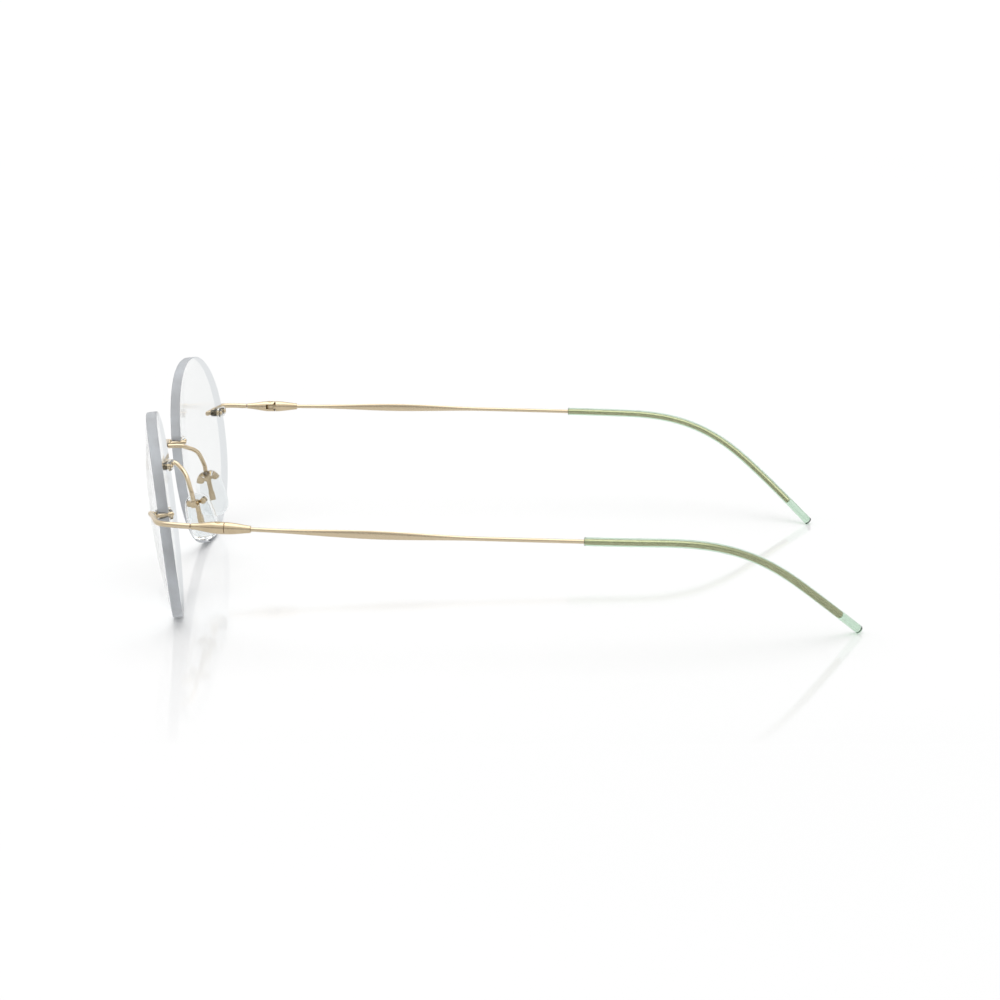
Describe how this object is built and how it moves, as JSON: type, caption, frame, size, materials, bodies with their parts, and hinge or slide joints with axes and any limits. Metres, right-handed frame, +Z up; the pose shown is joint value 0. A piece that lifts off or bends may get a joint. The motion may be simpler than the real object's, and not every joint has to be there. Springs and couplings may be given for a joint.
{
  "type": "rimless eyeglasses",
  "caption": "Rimless eyeglasses: clear panto lenses, thin gold wire bridge and endpieces, spindle hinges, flattened wire temples with clear green tips, rocking silicone pads.",
  "frame": {"origin": "centre of the box the glasses fill, on the surface they stand on", "axes": "+X to the wearer's left, +Y from the lenses to the temple tips, +Z up; temples open, standing on the lens bottoms and temple tips"},
  "size_m": [0.1438, 0.1495, 0.0426],
  "materials": {
    "gold": "satin pale gold plating on nickel silver wire",
    "screw": "turned gold-toned steel screw",
    "lens": "clear polished demo lens, frosted ground edge",
    "bushing": "clear moulded plastic",
    "silicone": "clear soft silicone",
    "green_sleeve": "polished transparent green acetate"
  },
  "bodies": {
    "front": {"bridge": "gold", "left_lens": "lens", "left_nasal_pin_inner": "gold", "left_nasal_pin_outer": "gold", "left_nasal_bushing": "bushing", "left_temporal_pin_inner": "gold", "left_temporal_pin_outer": "gold", "left_temporal_bushing": "bushing", "left_pad_arm": "gold", "left_pad_box": "gold", "left_pad_screw": "screw", "left_endpiece": "gold", "left_hinge_front": "gold", "left_hinge_screw": "screw", "right_lens": "lens", "right_nasal_pin_inner": "gold", "right_nasal_pin_outer": "gold", "right_nasal_bushing": "bushing", "right_temporal_pin_inner": "gold", "right_temporal_pin_outer": "gold", "right_temporal_bushing": "bushing", "right_pad_arm": "gold", "right_pad_box": "gold", "right_pad_screw": "screw", "right_endpiece": "gold", "right_hinge_front": "gold", "right_hinge_screw": "screw"},
    "left_temple": {"left_temple_barrel": "gold", "left_temple_wire": "gold", "left_temple_tip": "green_sleeve"},
    "left_pad": {"left_pad_core": "gold", "left_nose_pad": "silicone"},
    "right_temple": {"right_temple_barrel": "gold", "right_temple_wire": "gold", "right_temple_tip": "green_sleeve"},
    "right_pad": {"right_pad_core": "gold", "right_nose_pad": "silicone"}
  },
  "joints": [
    {"name": "left_temple_hinge", "type": "hinge", "parent": "front", "child": "left_temple", "pos_m": [0.0673, -0.05511, 0.02565], "axis": [0.003, 0.0269, 0.9996], "range_deg": [0, 85]},
    {"name": "right_temple_hinge", "type": "hinge", "parent": "front", "child": "right_temple", "pos_m": [-0.0673, -0.05511, 0.02565], "axis": [0.003, -0.0269, -0.9996], "range_deg": [0, 88.6]},
    {"name": "left_pad_rock", "type": "hinge", "parent": "front", "child": "left_pad", "pos_m": [0.0139, -0.06525, 0.019], "axis": [0.2245, 0.955, 0.194], "range_deg": [-8, 8]},
    {"name": "right_pad_rock", "type": "hinge", "parent": "front", "child": "right_pad", "pos_m": [-0.0139, -0.06525, 0.019], "axis": [-0.2245, 0.955, 0.194], "range_deg": [-8, 8]}
  ]
}
